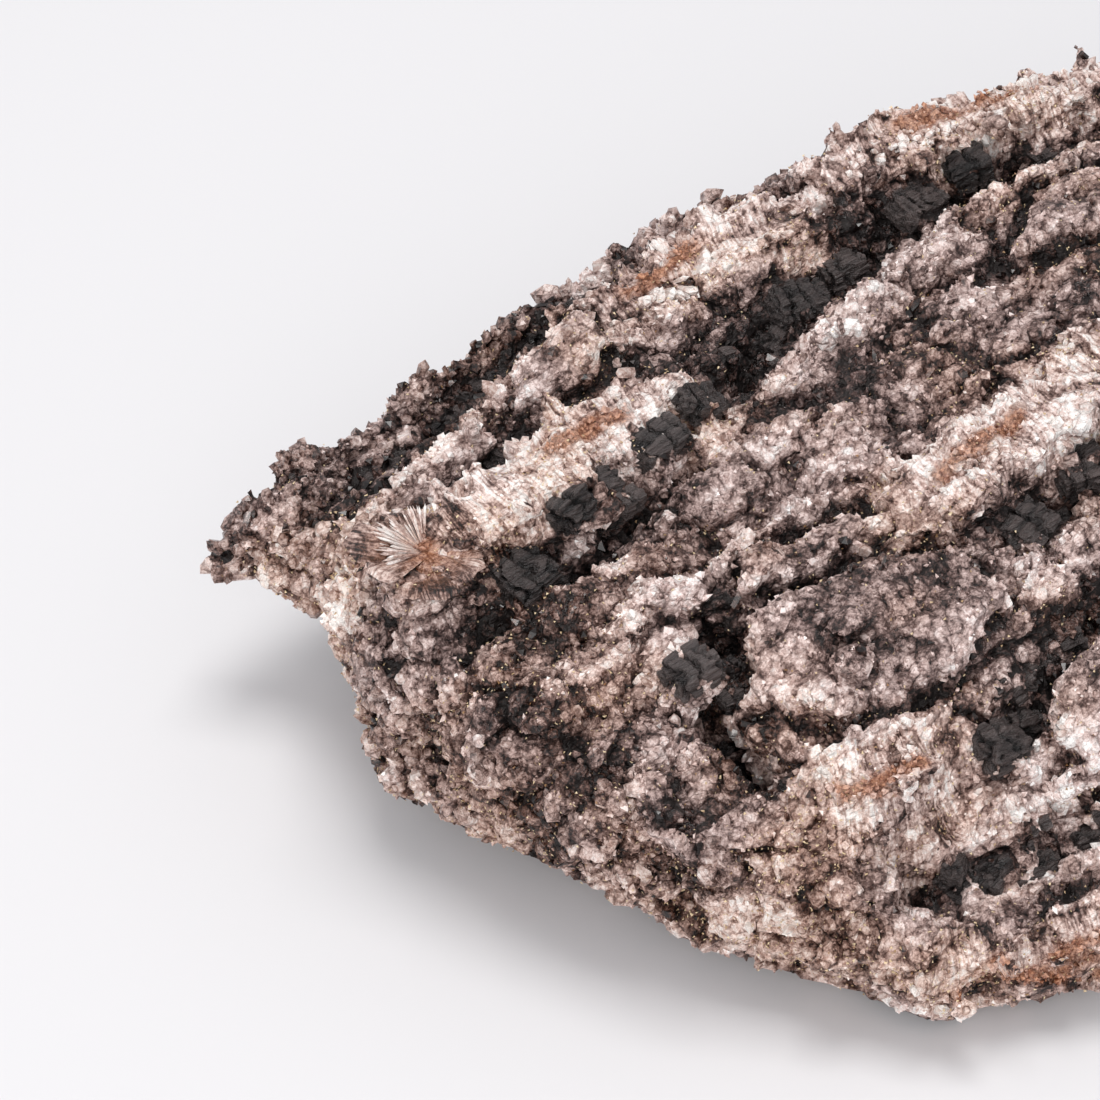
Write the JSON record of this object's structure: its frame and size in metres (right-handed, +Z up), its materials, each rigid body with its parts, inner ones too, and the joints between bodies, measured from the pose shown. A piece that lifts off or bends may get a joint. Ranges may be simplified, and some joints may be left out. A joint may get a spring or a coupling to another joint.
{
  "type": "petrified wood with smoky quartz",
  "caption": "Hand specimen of petrified wood with quartz veins and smoky quartz crystals, broken across the grain at both ends, resting on a small flat spot.",
  "frame": {"origin": "under the middle of the specimen's bounding box, at the level of the flat spot it rests on", "axes": "+X along the grain of the wood towards the far end, +Z up"},
  "size_m": [0.1268, 0.086, 0.0358],
  "materials": {
    "petrified_wood": "rough broken stone with sugary quartz, glassy crystals and dull black wood"
  },
  "bodies": {
    "root": {"petrified_wood": "petrified_wood"}
  },
  "joints": []
}
